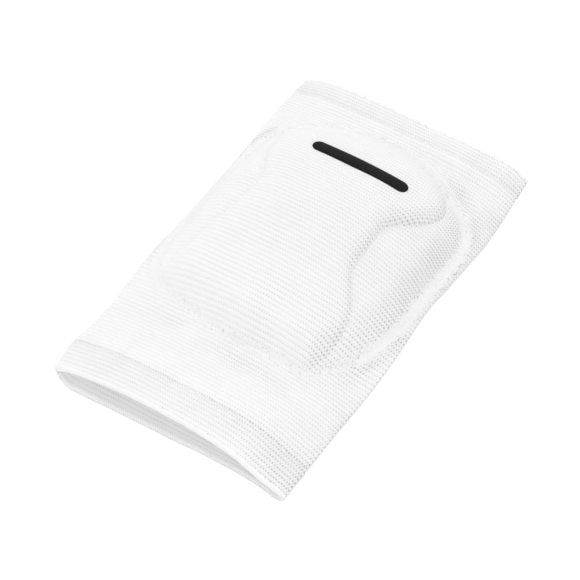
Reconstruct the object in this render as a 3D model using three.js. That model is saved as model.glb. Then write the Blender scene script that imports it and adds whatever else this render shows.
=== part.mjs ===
// Pull-on knee pad: a flattened knit tube with a hem at each end and three cushions on its front.
// Millimetres. X runs across, Y from the lower hem (the open mouth) to the upper hem, Z up from the
// surface that the back of the tube lies on.
import * as THREE from "three";

// Overall sizes
const sleeveLength = 220;
const halfLength = sleeveLength / 2;
const halfWidth = 65;
const frontHeight = 25; // highest point of the tube itself, under the centre cushion

// Knit walls and hems
const sleeveWall = 2.4;
const hemWall = 3.4; // a hem is the wall folded back on itself
const hemRaise = 0.5; // how far a hem stands out past the tube beside it
const lowerHemLength = 19;
const upperHemLength = 12.5;
const hemGap = 0.3;

// Cushions
const cushionGap = 0.4; // between the tube and the underside of a cushion
const grooveWidth = 1.6;
const seamWidth = 3.4; // the stitched band outside the cushions
const cushionEdge = 1.4;
const centreThickness = 12;
const centreShoulder = 12;
const wingThickness = 6.4;
const wingShoulder = 9;

// How far each rim strays from straight, a row per place across: x is a share of the half width, front
// and back are shares of rimStrayMost toward the upper end. The stray fades out over rimReach.
const rimReach = 30;
const rimStrayMost = 4;
const lowerRimRows = [
  { x: -1.0, front: -0.1, back: 0.5 },
  { x: -0.85, front: -0.2, back: 0.2 },
  { x: -0.5, front: 0.1, back: 0.05 },
  { x: 0.0, front: 0.1, back: 0.5 },
  { x: 0.35, front: -0.15, back: 0.85 },
  { x: 0.7, front: -0.4, back: 0.6 },
  { x: 1.0, front: -0.05, back: 0.1 },
];
const upperRimRows = [
  { x: -1.0, front: -0.5, back: -0.5 },
  { x: -0.8, front: 0.1, back: 0.0 },
  { x: -0.4, front: 0.15, back: 0.25 },
  { x: 0.1, front: -0.25, back: 0.15 },
  { x: 0.6, front: 0.05, back: 0.0 },
  { x: 0.85, front: 0.6, back: 0.15 },
  { x: 1.0, front: 0.3, back: 0.3 },
];

// Embroidered bar
const barLength = 50;
const barWidth = 7;
const barThickness = 0.9;
const barGap = 0.4;
const barCentre = { across: -0.015, along: 0.473 };

// The tube, one row per section. at: share of the length, from the mouth. left and right: share of the
// half width. leftFold and rightFold: height of the side folds. h1 to h7: height of the front at
// frontShares of the way from left to right. All heights are shares of frontHeight.
const frontShares = [0.07, 0.2, 0.35, 0.5, 0.65, 0.8, 0.93];
const sections = [
  { at: 0.0, left: 1.0, right: 0.975, leftFold: 0.32, rightFold: 0.2, h: [0.44, 0.6, 0.68, 0.72, 0.75, 0.69, 0.4] },
  { at: 0.055, left: 1.005, right: 0.978, leftFold: 0.32, rightFold: 0.2, h: [0.5, 0.66, 0.74, 0.77, 0.8, 0.73, 0.42] },
  { at: 0.095, left: 1.005, right: 0.982, leftFold: 0.3, rightFold: 0.2, h: [0.46, 0.63, 0.72, 0.76, 0.78, 0.72, 0.42] },
  { at: 0.15, left: 0.99, right: 0.988, leftFold: 0.26, rightFold: 0.2, h: [0.38, 0.54, 0.64, 0.7, 0.7, 0.64, 0.4] },
  { at: 0.214, left: 0.99, right: 0.99, leftFold: 0.24, rightFold: 0.2, h: [0.34, 0.46, 0.54, 0.6, 0.59, 0.51, 0.38] },
  { at: 0.29, left: 1.005, right: 1.0, leftFold: 0.24, rightFold: 0.2, h: [0.38, 0.47, 0.54, 0.58, 0.54, 0.43, 0.33] },
  { at: 0.368, left: 1.015, right: 1.0, leftFold: 0.24, rightFold: 0.2, h: [0.38, 0.48, 0.55, 0.58, 0.51, 0.39, 0.28] },
  { at: 0.45, left: 1.0, right: 0.99, leftFold: 0.28, rightFold: 0.2, h: [0.42, 0.53, 0.59, 0.62, 0.56, 0.43, 0.28] },
  { at: 0.514, left: 0.975, right: 0.975, leftFold: 0.36, rightFold: 0.2, h: [0.52, 0.66, 0.72, 0.74, 0.67, 0.5, 0.29] },
  { at: 0.577, left: 0.945, right: 0.965, leftFold: 0.5, rightFold: 0.21, h: [0.66, 0.8, 0.88, 0.91, 0.84, 0.62, 0.33] },
  { at: 0.655, left: 0.925, right: 0.985, leftFold: 0.6, rightFold: 0.24, h: [0.76, 0.9, 0.97, 1.0, 0.96, 0.78, 0.42] },
  { at: 0.723, left: 0.935, right: 1.0, leftFold: 0.56, rightFold: 0.25, h: [0.72, 0.86, 0.94, 0.97, 0.93, 0.77, 0.43] },
  { at: 0.79, left: 0.965, right: 1.01, leftFold: 0.44, rightFold: 0.24, h: [0.58, 0.72, 0.8, 0.84, 0.82, 0.7, 0.42] },
  { at: 0.85, left: 0.99, right: 1.0, leftFold: 0.32, rightFold: 0.22, h: [0.42, 0.56, 0.64, 0.69, 0.69, 0.61, 0.39] },
  { at: 0.905, left: 1.005, right: 0.985, leftFold: 0.24, rightFold: 0.2, h: [0.32, 0.43, 0.5, 0.56, 0.57, 0.52, 0.36] },
  { at: 0.945, left: 1.0, right: 0.97, leftFold: 0.22, rightFold: 0.2, h: [0.32, 0.42, 0.49, 0.55, 0.58, 0.55, 0.41] },
  { at: 1.0, left: 0.975, right: 0.95, leftFold: 0.2, rightFold: 0.19, h: [0.29, 0.39, 0.45, 0.51, 0.54, 0.52, 0.41] },
];

// Cushion outlines on the front of the tube, a row per station. along: share of the half length, from
// the middle. left and right: share of the way round from the middle line to that side's fold.
// thick: share of the full thickness.
const centreRows = [
  { along: -0.464, left: -0.38, right: 0.38, thick: 0.5 },
  { along: -0.441, left: -0.56, right: 0.5, thick: 0.58 },
  { along: -0.409, left: -0.68, right: 0.56, thick: 0.64 },
  { along: -0.355, left: -0.76, right: 0.59, thick: 0.7 },
  { along: -0.282, left: -0.78, right: 0.6, thick: 0.74 },
  { along: -0.182, left: -0.74, right: 0.59, thick: 0.78 },
  { along: -0.073, left: -0.66, right: 0.53, thick: 0.82 },
  { along: 0.027, left: -0.59, right: 0.44, thick: 0.86 },
  { along: 0.118, left: -0.54, right: 0.39, thick: 0.9 },
  { along: 0.2, left: -0.52, right: 0.38, thick: 0.96 },
  { along: 0.273, left: -0.55, right: 0.41, thick: 1.0 },
  { along: 0.336, left: -0.61, right: 0.49, thick: 1.0 },
  { along: 0.391, left: -0.67, right: 0.61, thick: 1.0 },
  { along: 0.445, left: -0.71, right: 0.69, thick: 1.0 },
  { along: 0.5, left: -0.72, right: 0.7, thick: 1.0 },
  { along: 0.564, left: -0.7, right: 0.68, thick: 0.97 },
  { along: 0.627, left: -0.64, right: 0.62, thick: 0.92 },
  { along: 0.691, left: -0.54, right: 0.51, thick: 0.86 },
  { along: 0.745, left: -0.4, right: 0.37, thick: 0.78 },
  { along: 0.782, left: -0.2, right: 0.18, thick: 0.7 },
];
const leftWingRows = [
  { along: -0.391, left: -0.82, right: -0.78, thick: 0.5 },
  { along: -0.345, left: -0.9, right: -0.81, thick: 0.7 },
  { along: -0.255, left: -0.97, right: -0.81, thick: 0.9 },
  { along: -0.127, left: -1.0, right: -0.73, thick: 1.0 },
  { along: 0, left: -1.0, right: -0.63, thick: 1.0 },
  { along: 0.127, left: -1.0, right: -0.56, thick: 1.0 },
  { along: 0.236, left: -1.0, right: -0.56, thick: 1.0 },
  { along: 0.327, left: -0.98, right: -0.62, thick: 1.0 },
  { along: 0.418, left: -0.93, right: -0.7, thick: 0.9 },
  { along: 0.5, left: -0.86, right: -0.74, thick: 0.7 },
  { along: 0.564, left: -0.79, right: -0.73, thick: 0.5 },
];
const rightWingRows = [
  { along: -0.418, left: 0.58, right: 0.64, thick: 0.5 },
  { along: -0.373, left: 0.6, right: 0.74, thick: 0.7 },
  { along: -0.291, left: 0.63, right: 0.83, thick: 0.9 },
  { along: -0.182, left: 0.62, right: 0.9, thick: 1.0 },
  { along: -0.055, left: 0.55, right: 0.94, thick: 1.0 },
  { along: 0.073, left: 0.44, right: 0.95, thick: 1.0 },
  { along: 0.182, left: 0.41, right: 0.95, thick: 1.0 },
  { along: 0.282, left: 0.45, right: 0.95, thick: 1.0 },
  { along: 0.364, left: 0.58, right: 0.95, thick: 1.0 },
  { along: 0.436, left: 0.71, right: 0.93, thick: 0.9 },
  { along: 0.509, left: 0.74, right: 0.88, thick: 0.75 },
  { along: 0.564, left: 0.72, right: 0.81, thick: 0.6 },
  { along: 0.609, left: 0.68, right: 0.74, thick: 0.5 },
];

// Value of a column at a place along the rows, by a smooth curve through them.
function curveAt(rows, keyName, valueOf, key) {
  const last = rows.length - 1;
  const k = Math.min(Math.max(key, rows[0][keyName]), rows[last][keyName]);
  let i = 0;
  while (i < last - 1 && rows[i + 1][keyName] < k) i++;
  const slope = (j) => {
    const a = Math.max(j - 1, 0);
    const b = Math.min(j + 1, last);
    return (valueOf(rows[b]) - valueOf(rows[a])) / (rows[b][keyName] - rows[a][keyName]);
  };
  const span = rows[i + 1][keyName] - rows[i][keyName];
  const t = (k - rows[i][keyName]) / span;
  const t2 = t * t;
  const t3 = t2 * t;
  return (
    (2 * t3 - 3 * t2 + 1) * valueOf(rows[i]) +
    (t3 - 2 * t2 + t) * span * slope(i) +
    (3 * t2 - 2 * t3) * valueOf(rows[i + 1]) +
    (t3 - t2) * span * slope(i + 1)
  );
}

// Outer surface of the tube

const loopSamples = 360;
const loopCache = new Map();

// Closed outline of the tube's outer face at y, with the arc length from the middle of the front:
// positive over the front to the right fold, negative to the left fold.
function loopAt(y) {
  const key = y.toFixed(4);
  if (loopCache.has(key)) return loopCache.get(key);
  const at = y / sleeveLength + 0.5;
  const col = (valueOf) => curveAt(sections, "at", valueOf, at);
  const left = -halfWidth * col((r) => r.left);
  const right = halfWidth * col((r) => r.right);
  const leftFold = frontHeight * col((r) => r.leftFold);
  const rightFold = frontHeight * col((r) => r.rightFold);
  const leftRun = 0.75 * leftFold + 2;
  const rightRun = 0.9 * rightFold + 2;
  const front = frontShares.map((share, i) => [
    left + (right - left) * share,
    frontHeight * col((r) => r.h[i]),
  ]);
  const points = [
    [left, leftFold],
    ...front,
    [right, rightFold],
    [right - 0.29 * rightRun, 0.29 * rightFold],
    [right - rightRun, 0],
    [right - rightRun - 12, 0],
    [right / 3, 0],
    [left / 3, 0],
    [left + leftRun + 12, 0],
    [left + leftRun, 0],
    [left + 0.29 * leftRun, 0.29 * leftFold],
  ].map(([x, z]) => new THREE.Vector3(x, 0, z));
  const curve = new THREE.CatmullRomCurve3(points, true, "centripetal");
  const n = points.length;
  const ring = [];
  for (let i = 0; i < loopSamples; i++) {
    const p = curve.getPoint(i / loopSamples);
    ring.push({ x: p.x, z: Math.max(p.z, 0) });
  }
  // Arc length round the ring, zero at the middle of the front, which is point 4 of the list.
  const start = Math.round((4 / n) * loopSamples);
  const lengths = [0];
  for (let i = 0; i < loopSamples; i++) {
    const a = ring[(start + i) % loopSamples];
    const b = ring[(start + i + 1) % loopSamples];
    lengths.push(lengths[i] + Math.hypot(b.x - a.x, b.z - a.z));
  }
  const total = lengths[loopSamples];
  const toRight = Math.round((8 / n) * loopSamples) - start;
  const toLeft = loopSamples - start;
  const loop = {
    ring,
    start,
    lengths,
    total,
    rightGirth: lengths[toRight],
    leftGirth: total - lengths[toLeft],
  };
  loopCache.set(key, loop);
  return loop;
}

// Point at an arc length round the loop, pushed out along the section's normal.
function onLoop(loop, girth, y, lift) {
  const s = ((girth % loop.total) + loop.total) % loop.total;
  let lo = 0;
  let hi = loopSamples;
  while (hi - lo > 1) {
    const mid = (lo + hi) >> 1;
    if (loop.lengths[mid] <= s) lo = mid;
    else hi = mid;
  }
  const at = (i) => loop.ring[(loop.start + i + loopSamples) % loopSamples];
  const t = (s - loop.lengths[lo]) / (loop.lengths[lo + 1] - loop.lengths[lo]);
  const a = at(lo);
  const b = at(lo + 1);
  const before = at(lo - 2);
  const after = at(lo + 3);
  const dx = after.x - before.x;
  const dz = after.z - before.z;
  const size = Math.hypot(dx, dz);
  return [a.x + (b.x - a.x) * t - (lift * dz) / size, y, a.z + (b.z - a.z) * t + (lift * dx) / size];
}

// Arc length of a share of the way round: 0 at the middle line, -1 and 1 at the folds.
function girthOf(loop, share) {
  return share < 0 ? share * loop.leftGirth : share * loop.rightGirth;
}

// Millimetres that a point near a rim strays along the length.
function rimStray(rows, x, y, rimY, isFront) {
  const fade = Math.max(1 - Math.abs(y - rimY) / rimReach, 0);
  const stray = curveAt(rows, "x", (r) => (isFront ? r.front : r.back), x / halfWidth);
  return rimStrayMost * stray * fade * fade;
}

// Places round the whole loop as arc lengths, closer together at the folds.
const frontSteps = 26;
const backSteps = 20;
function placesRound(loop) {
  const ease = (t) => 0.55 * (0.5 - 0.5 * Math.cos(Math.PI * t)) + 0.45 * t;
  const front = loop.leftGirth + loop.rightGirth;
  const back = loop.total - front;
  const places = [];
  for (let i = 0; i < frontSteps; i++) places.push(-loop.leftGirth + front * ease(i / frontSteps));
  for (let i = 0; i < backSteps; i++) places.push(loop.rightGirth + back * ease(i / backSteps));
  return places;
}

// Meshes

function meshFrom(name, positions, indices, material) {
  let volume = 0;
  const v = (i) => positions[i];
  for (let i = 0; i < indices.length; i += 3) {
    const [a, b, c] = [v(indices[i]), v(indices[i + 1]), v(indices[i + 2])];
    volume +=
      a[0] * (b[1] * c[2] - b[2] * c[1]) +
      a[1] * (b[2] * c[0] - b[0] * c[2]) +
      a[2] * (b[0] * c[1] - b[1] * c[0]);
  }
  if (volume < 0) {
    for (let i = 0; i < indices.length; i += 3) {
      [indices[i + 1], indices[i + 2]] = [indices[i + 2], indices[i + 1]];
    }
  }
  const geometry = new THREE.BufferGeometry();
  geometry.setAttribute("position", new THREE.Float32BufferAttribute(positions.flat(), 3));
  geometry.setIndex(indices);
  geometry.computeVertexNormals();
  const mesh = new THREE.Mesh(geometry, material);
  mesh.name = name;
  return mesh;
}

// A band of the tube. profile: closed list of { y, lift } round the cut wall.
function bandOfTube(name, profile, material) {
  const positions = [];
  const around = frontSteps + backSteps;
  for (const { y, lift } of profile) {
    const loop = loopAt(Math.min(Math.max(y, -halfLength), halfLength));
    placesRound(loop).forEach((girth, j) => {
      const point = onLoop(loop, girth, y, lift);
      const isFront = j <= frontSteps;
      const lower = rimStray(lowerRimRows, point[0], y, -halfLength, isFront);
      const upper = rimStray(upperRimRows, point[0], y, halfLength, isFront);
      point[1] += lower + upper;
      point[2] = Math.max(point[2], 0);
      positions.push(point);
    });
  }
  const indices = [];
  for (let i = 0; i < profile.length; i++) {
    const next = (i + 1) % profile.length;
    for (let j = 0; j < around; j++) {
      const k = (j + 1) % around;
      indices.push(i * around + j, i * around + k, next * around + k);
      indices.push(i * around + j, next * around + k, next * around + j);
    }
  }
  return meshFrom(name, positions, indices, material);
}

// Wall profile between two ends, with a rounded rim at the end that faces outward along Y.
function wallProfile(from, to, outer, inner, steps, rim) {
  const profile = [];
  const radius = (outer - inner) / 2;
  const middle = (outer + inner) / 2;
  const start = rim < 0 ? from + radius : from;
  const end = rim > 0 ? to - radius : to;
  for (let i = 0; i <= steps; i++) profile.push({ y: start + ((end - start) * i) / steps, lift: outer });
  if (rim > 0) profile.push(...rimArc(end, radius, middle, 1));
  for (let i = steps; i >= 0; i--) profile.push({ y: start + ((end - start) * i) / steps, lift: inner });
  if (rim < 0) profile.push(...rimArc(start, radius, middle, -1).reverse());
  return profile;
}

function rimArc(y, radius, middle, way) {
  const arc = [];
  for (let i = 1; i < 5; i++) {
    const angle = (Math.PI * i) / 5;
    arc.push({ y: y + way * radius * Math.sin(angle), lift: middle + radius * Math.cos(angle) });
  }
  return arc;
}

// Cushions

// Steps that lie closer together near both ends.
const crowded = (t) => 0.7 * (0.5 - 0.5 * Math.cos(Math.PI * t)) + 0.3 * t;

// Outline of a cushion in millimetres of girth and length, pulled in by margin on each side.
function cushion(rows, full, shoulder, leftMargin, rightMargin) {
  const first = rows[0].along * halfLength;
  const last = rows[rows.length - 1].along * halfLength;
  const edge = (y, side) => {
    const share = curveAt(rows, "along", (r) => r[side], y / halfLength);
    const girth = girthOf(loopAt(y), share);
    return side === "left" ? girth + leftMargin : girth - rightMargin;
  };
  const outline = [];
  const steps = 60;
  for (let i = 0; i <= steps; i++) {
    const y = first + (last - first) * crowded(i / steps);
    outline.push([edge(y, "left"), y]);
  }
  for (let i = steps; i >= 0; i--) {
    const y = first + (last - first) * crowded(i / steps);
    outline.push([edge(y, "right"), y]);
  }
  const distance = (s, y) => {
    let best = Infinity;
    for (let i = 0; i < outline.length; i++) {
      const [ax, ay] = outline[i];
      const [bx, by] = outline[(i + 1) % outline.length];
      const length2 = (bx - ax) ** 2 + (by - ay) ** 2;
      const along = length2 > 0 ? ((s - ax) * (bx - ax) + (y - ay) * (by - ay)) / length2 : 0;
      const t = Math.min(Math.max(along, 0), 1);
      best = Math.min(best, Math.hypot(s - ax - t * (bx - ax), y - ay - t * (by - ay)));
    }
    return best;
  };
  const thickness = (s, y) => {
    const full0 = full * curveAt(rows, "along", (r) => r.thick, y / halfLength);
    const t = Math.min(distance(s, y) / shoulder, 1);
    return cushionEdge + (full0 - cushionEdge) * Math.sqrt(1 - (1 - t) ** 2);
  };
  return { first, last, edge, thickness };
}

// A patch lying on the tube: a grid of rows and columns, with an upper and a lower face.
// place(u, v) gives girth and y; lower and upper give the height over the tube there.
function patch(name, columns, rows, place, lower, upper, material) {
  const positions = [];
  const across = columns + 1;
  const count = across * (rows + 1);
  for (const height of [lower, upper]) {
    for (let j = 0; j <= rows; j++) {
      for (let i = 0; i < across; i++) {
        const [s, y] = place(i / columns, j / rows);
        positions.push(onLoop(loopAt(y), s, y, height(s, y)));
      }
    }
  }
  const indices = [];
  const id = (i, j, face) => face * count + j * across + i;
  const quad = (a, b, c, d) => indices.push(a, b, c, a, c, d);
  for (let j = 0; j < rows; j++) {
    for (let i = 0; i < columns; i++) {
      quad(id(i, j, 1), id(i + 1, j, 1), id(i + 1, j + 1, 1), id(i, j + 1, 1));
      quad(id(i, j, 0), id(i, j + 1, 0), id(i + 1, j + 1, 0), id(i + 1, j, 0));
    }
    quad(id(0, j, 0), id(0, j, 1), id(0, j + 1, 1), id(0, j + 1, 0));
    quad(id(columns, j, 0), id(columns, j + 1, 0), id(columns, j + 1, 1), id(columns, j, 1));
  }
  for (let i = 0; i < columns; i++) {
    quad(id(i, 0, 0), id(i + 1, 0, 0), id(i + 1, 0, 1), id(i, 0, 1));
    quad(id(i, rows, 0), id(i, rows, 1), id(i + 1, rows, 1), id(i + 1, rows, 0));
  }
  return meshFrom(name, positions, indices, material);
}

function cushionMesh(name, shape, columns, rows, material) {
  const place = (u, v) => {
    const y = shape.first + (shape.last - shape.first) * crowded(v);
    const left = shape.edge(y, "left");
    const right = shape.edge(y, "right");
    return [left + (right - left) * crowded(u), y];
  };
  const lower = () => cushionGap;
  const upper = (s, y) => cushionGap + shape.thickness(s, y);
  return patch(name, columns, rows, place, lower, upper, material);
}

// The parts

const knit = { color: 0xf2f2f0, roughness: 0.9, metalness: 0 };
const material = (extra) => new THREE.MeshStandardMaterial({ ...knit, ...extra });

const lowerHemLine = -halfLength + lowerHemLength;
const upperHemLine = halfLength - upperHemLength;
const hemOuter = hemRaise;
const hemInner = hemRaise - hemWall;

const sleeve = bandOfTube(
  "sleeve",
  wallProfile(lowerHemLine + hemGap / 2, upperHemLine - hemGap / 2, 0, -sleeveWall, 24, 0),
  material({}),
);
const lowerHem = bandOfTube(
  "lower_hem",
  wallProfile(-halfLength, lowerHemLine - hemGap / 2, hemOuter, hemInner, 4, -1),
  material({}),
);
const upperHem = bandOfTube(
  "upper_hem",
  wallProfile(upperHemLine + hemGap / 2, halfLength, hemOuter, hemInner, 3, 1),
  material({}),
);

const inGroove = grooveWidth / 2;
const inSeam = seamWidth / 2;
const centreShape = cushion(centreRows, centreThickness, centreShoulder, inGroove, inGroove);
const leftWingShape = cushion(leftWingRows, wingThickness, wingShoulder, inSeam, inGroove);
const rightWingShape = cushion(rightWingRows, wingThickness, wingShoulder, inGroove, inSeam);

const centrePad = cushionMesh("centre_cushion", centreShape, 18, 30, material({}));
const leftWing = cushionMesh("left_wing_cushion", leftWingShape, 10, 20, material({}));
const rightWing = cushionMesh("right_wing_cushion", rightWingShape, 10, 20, material({}));

const barY = barCentre.along * halfLength;
const barGirth = girthOf(loopAt(barY), barCentre.across);
const barPlace = (u, v) => {
  const across = barLength * (crowded(u) - 0.5);
  const fromEnd = Math.max(Math.abs(across) - (barLength - barWidth) / 2, 0);
  const reach = Math.sqrt(Math.max((barWidth / 2) ** 2 - fromEnd ** 2, (barWidth / 12) ** 2));
  return [barGirth + across, barY + 2 * reach * (v - 0.5)];
};
const barLower = (s, y) => cushionGap + centreShape.thickness(s, y) + barGap;
const barUpper = (s, y) => barLower(s, y) + barThickness;
const bar = patch("embroidered_bar", 26, 4, barPlace, barLower, barUpper, material({ color: 0x111111 }));

const group = new THREE.Group();
group.name = "knee_pad";
group.add(sleeve, lowerHem, upperHem, centrePad, leftWing, rightWing, bar);

// The frame's origin is the bottom centre of the whole pad.
const extent = new THREE.Box3().setFromObject(group);
group.position.set(-(extent.min.x + extent.max.x) / 2, -(extent.min.y + extent.max.y) / 2, -extent.min.z);
export default group;
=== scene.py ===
import math
import bpy
import numpy as np
from mathutils import Matrix, Vector


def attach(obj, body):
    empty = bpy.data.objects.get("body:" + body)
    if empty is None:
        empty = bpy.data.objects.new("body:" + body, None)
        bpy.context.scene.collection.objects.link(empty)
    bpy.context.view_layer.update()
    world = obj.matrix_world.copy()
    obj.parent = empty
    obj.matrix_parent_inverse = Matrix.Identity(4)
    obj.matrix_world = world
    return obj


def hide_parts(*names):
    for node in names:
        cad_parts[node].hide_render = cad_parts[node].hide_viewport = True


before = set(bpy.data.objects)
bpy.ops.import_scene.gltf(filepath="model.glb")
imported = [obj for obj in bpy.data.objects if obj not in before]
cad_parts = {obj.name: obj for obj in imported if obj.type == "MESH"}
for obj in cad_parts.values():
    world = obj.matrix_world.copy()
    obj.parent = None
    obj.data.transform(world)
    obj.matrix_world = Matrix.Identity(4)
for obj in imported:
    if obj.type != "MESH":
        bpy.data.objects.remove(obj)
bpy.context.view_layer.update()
print("stage 1: frame loaded")

mm = 0.001

# The flattened tube that everything lies on, in millimetres.
tube = {
    "length": 220.0,
    "halfWidth": 65.0,
    "frontHeight": 25.0,
    # how far each fold curves in under the tube: share of its height, and millimetres more
    "leftRun": (0.75, 2.0),
    "rightRun": (0.9, 2.0),
    "foldBend": 0.29,  # share of that run and of the fold's height at which the curve bends
    "flatStep": 12.0,  # from the end of the fold's curve to the first point of the flat back
    "knotSteps": 20,  # points of the outline from one knot to the next
    "middleKnot": 4,  # knots are counted from the left fold
    "rightKnot": 8,
    "stationStep": 0.5,
    "shift": (0.191, -0.396),  # from the tube's own middle to the frame's origin
    "frontShares": [0.07, 0.2, 0.35, 0.5, 0.65, 0.8, 0.93],
    # share of the length, left, right, left fold, right fold, then the front's heights at frontShares
    "sections": [
        [0.0, 0.965, 0.975, 0.36, 0.2, 0.5, 0.6, 0.68, 0.72, 0.75, 0.69, 0.4],
        [0.055, 0.985, 0.978, 0.36, 0.2, 0.5, 0.66, 0.74, 0.77, 0.8, 0.73, 0.42],
        [0.095, 1.005, 0.982, 0.3, 0.2, 0.46, 0.63, 0.72, 0.76, 0.78, 0.72, 0.42],
        [0.15, 0.99, 0.988, 0.26, 0.2, 0.38, 0.54, 0.64, 0.7, 0.7, 0.64, 0.4],
        [0.214, 0.99, 0.99, 0.24, 0.2, 0.34, 0.46, 0.54, 0.6, 0.59, 0.51, 0.38],
        [0.29, 1.005, 1.0, 0.24, 0.2, 0.38, 0.47, 0.54, 0.58, 0.54, 0.43, 0.33],
        [0.368, 1.015, 1.0, 0.24, 0.2, 0.38, 0.48, 0.55, 0.58, 0.51, 0.39, 0.28],
        [0.45, 1.0, 0.99, 0.28, 0.2, 0.42, 0.53, 0.59, 0.62, 0.56, 0.43, 0.28],
        [0.514, 0.975, 0.975, 0.36, 0.2, 0.52, 0.66, 0.72, 0.74, 0.67, 0.5, 0.29],
        [0.577, 0.945, 0.965, 0.5, 0.21, 0.66, 0.8, 0.88, 0.91, 0.84, 0.62, 0.33],
        [0.655, 0.925, 0.985, 0.6, 0.24, 0.76, 0.9, 0.97, 1.0, 0.96, 0.78, 0.42],
        [0.723, 0.935, 1.0, 0.56, 0.25, 0.72, 0.86, 0.94, 0.97, 0.93, 0.77, 0.43],
        [0.79, 0.965, 1.01, 0.44, 0.24, 0.58, 0.72, 0.8, 0.84, 0.82, 0.7, 0.42],
        [0.85, 0.99, 1.0, 0.32, 0.22, 0.42, 0.56, 0.64, 0.69, 0.69, 0.61, 0.39],
        [0.905, 1.005, 0.985, 0.24, 0.2, 0.32, 0.43, 0.5, 0.56, 0.57, 0.52, 0.36],
        [0.945, 1.0, 0.97, 0.22, 0.2, 0.32, 0.42, 0.49, 0.55, 0.58, 0.55, 0.41],
        [1.0, 0.975, 0.95, 0.2, 0.19, 0.29, 0.39, 0.45, 0.51, 0.54, 0.52, 0.41],
    ],
    # how far each rim strays along the length: share of the half width, front, back
    "rimReach": 30.0,
    "lowerRim": [[-1.0, 0.8, 0.8], [-0.95, 0.9, 0.6], [-0.8, 1.6, -0.6], [-0.5, 2.6, 0.4], [0.0, 2.6, 1.9],
                 [0.35, 1.6, 3.0], [0.7, 0.0, 2.8], [0.95, 0.6, 0.6], [1.0, 0.6, 0.6]],
    "upperRim": [[-1.0, -2.0, -2.0], [-0.96, -1.8, -1.8], [-0.8, 0.4, 0.0], [-0.4, 0.6, 1.0], [0.1, -1.0, 0.6],
                 [0.6, 0.2, 0.0], [0.82, 2.2, 0.8], [0.93, 1.4, 1.4], [1.0, 1.2, 1.2]],
}


# a smooth curve through the rows of a table: cubic between two rows, with the slope at a row
# taken from the rows before and after it
def throughRows(table, at):
    table = np.asarray(table, float)
    key, value = table[:, 0], table[:, 1:]
    slope = np.empty_like(value)
    slope[1:-1] = (value[2:] - value[:-2]) / (key[2:] - key[:-2])[:, None]
    slope[0] = (value[1] - value[0]) / (key[1] - key[0])
    slope[-1] = (value[-1] - value[-2]) / (key[-1] - key[-2])
    at = np.clip(np.asarray(at, float), key[0], key[-1])
    i = np.clip(np.searchsorted(key, at, "right") - 1, 0, len(key) - 2)
    span = key[i + 1] - key[i]
    t = ((at - key[i]) / span)[..., None]
    span = span[..., None]
    return ((2 * t**3 - 3 * t**2 + 1) * value[i] + (t**3 - 2 * t**2 + t) * span * slope[i]
            + (3 * t**2 - 2 * t**3) * value[i + 1] + (t**3 - t**2) * span * slope[i + 1])


# closed outlines of the tube at many stations: a rounded curve through the two folds, the seven
# front heights and the flat back, with its height never under zero
def tubeLoops(y):
    form = tube
    cols = throughRows(form["sections"], y / form["length"] + 0.5)
    left, right = -form["halfWidth"] * cols[:, 0], form["halfWidth"] * cols[:, 1]
    leftFold, rightFold = form["frontHeight"] * cols[:, 2], form["frontHeight"] * cols[:, 3]
    leftRun = form["leftRun"][0] * leftFold + form["leftRun"][1]
    rightRun = form["rightRun"][0] * rightFold + form["rightRun"][1]
    bend, flat = form["foldBend"], form["flatStep"]
    zero = np.zeros_like(left)
    xs = [left] + [left + (right - left) * u for u in form["frontShares"]]
    xs += [right, right - bend * rightRun, right - rightRun, right - rightRun - flat, right / 3, left / 3,
           left + leftRun + flat, left + leftRun, left + bend * leftRun]
    zs = [leftFold] + [form["frontHeight"] * cols[:, 4 + i] for i in range(len(form["frontShares"]))]
    zs += [rightFold, bend * rightFold] + [zero] * 6 + [bend * leftFold]
    knots = np.stack([np.stack(xs, 1), np.stack(zs, 1)], -1)  # station, knot, (x, z)
    before, after, later = (np.roll(knots, k, 1) for k in (1, -1, -2))
    stretches = ((before, knots), (knots, after), (after, later))
    d0, d1, d2 = (np.sqrt(np.linalg.norm(b - a, axis=-1, keepdims=True)) for a, b in stretches)
    t1 = ((knots - before) / d0 - (after - before) / (d0 + d1) + (after - knots) / d1) * d1
    t2 = ((after - knots) / d1 - (later - knots) / (d1 + d2) + (later - after) / d2) * d1
    t = (np.arange(form["knotSteps"]) / form["knotSteps"])[:, None]
    square = -3 * knots + 3 * after - 2 * t1 - t2
    cube = 2 * knots - 2 * after + t1 + t2
    a, b, c, d = (q[:, :, None, :] for q in (knots, t1, square, cube))
    ring = (a + b * t + c * t**2 + d * t**3).reshape(len(y), -1, 2)
    ring[..., 1] = np.maximum(ring[..., 1], 0)
    return np.roll(ring, -form["middleKnot"] * form["knotSteps"], 1)  # starts at the middle of the front


# steps from the middle of the front to a knot, going round over the right fold
def stepsTo(knot):
    return (knot - tube["middleKnot"]) % (loops.shape[1] // tube["knotSteps"]) * tube["knotSteps"]


# The tube as a fine table: rows are stations, columns go round by the place, which is 0 at the middle of the
# front, 1 at the right fold, and -1 and also 3 at the first front share, just right of the left fold.
stations = np.arange(-112, 112.01, tube["stationStep"])
loops = tubeLoops(np.clip(stations, -tube["length"] / 2, tube["length"] / 2))
steps = np.linalg.norm(np.roll(loops, -1, 1) - loops, axis=-1)
girth = np.concatenate([np.zeros((len(stations), 1)), np.cumsum(steps, 1)], 1)
wholeGirth = girth[:, -1]
rightGirth = girth[:, stepsTo(tube["rightKnot"])]
leftGirth = wholeGirth - girth[:, stepsTo(1)]
backGirth = wholeGirth - leftGirth - rightGirth
foldPlace = 1 + 2 * (girth[:, stepsTo(0)] - rightGirth) / backGirth  # the left fold itself
places = np.linspace(-1, 3, 1201)
onBackOfTube = rightGirth[:, None] + (places[None] - 1) / 2 * backGirth[:, None]
onRightOfTube = np.where(places[None] <= 1, places[None] * rightGirth[:, None], onBackOfTube)
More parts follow.
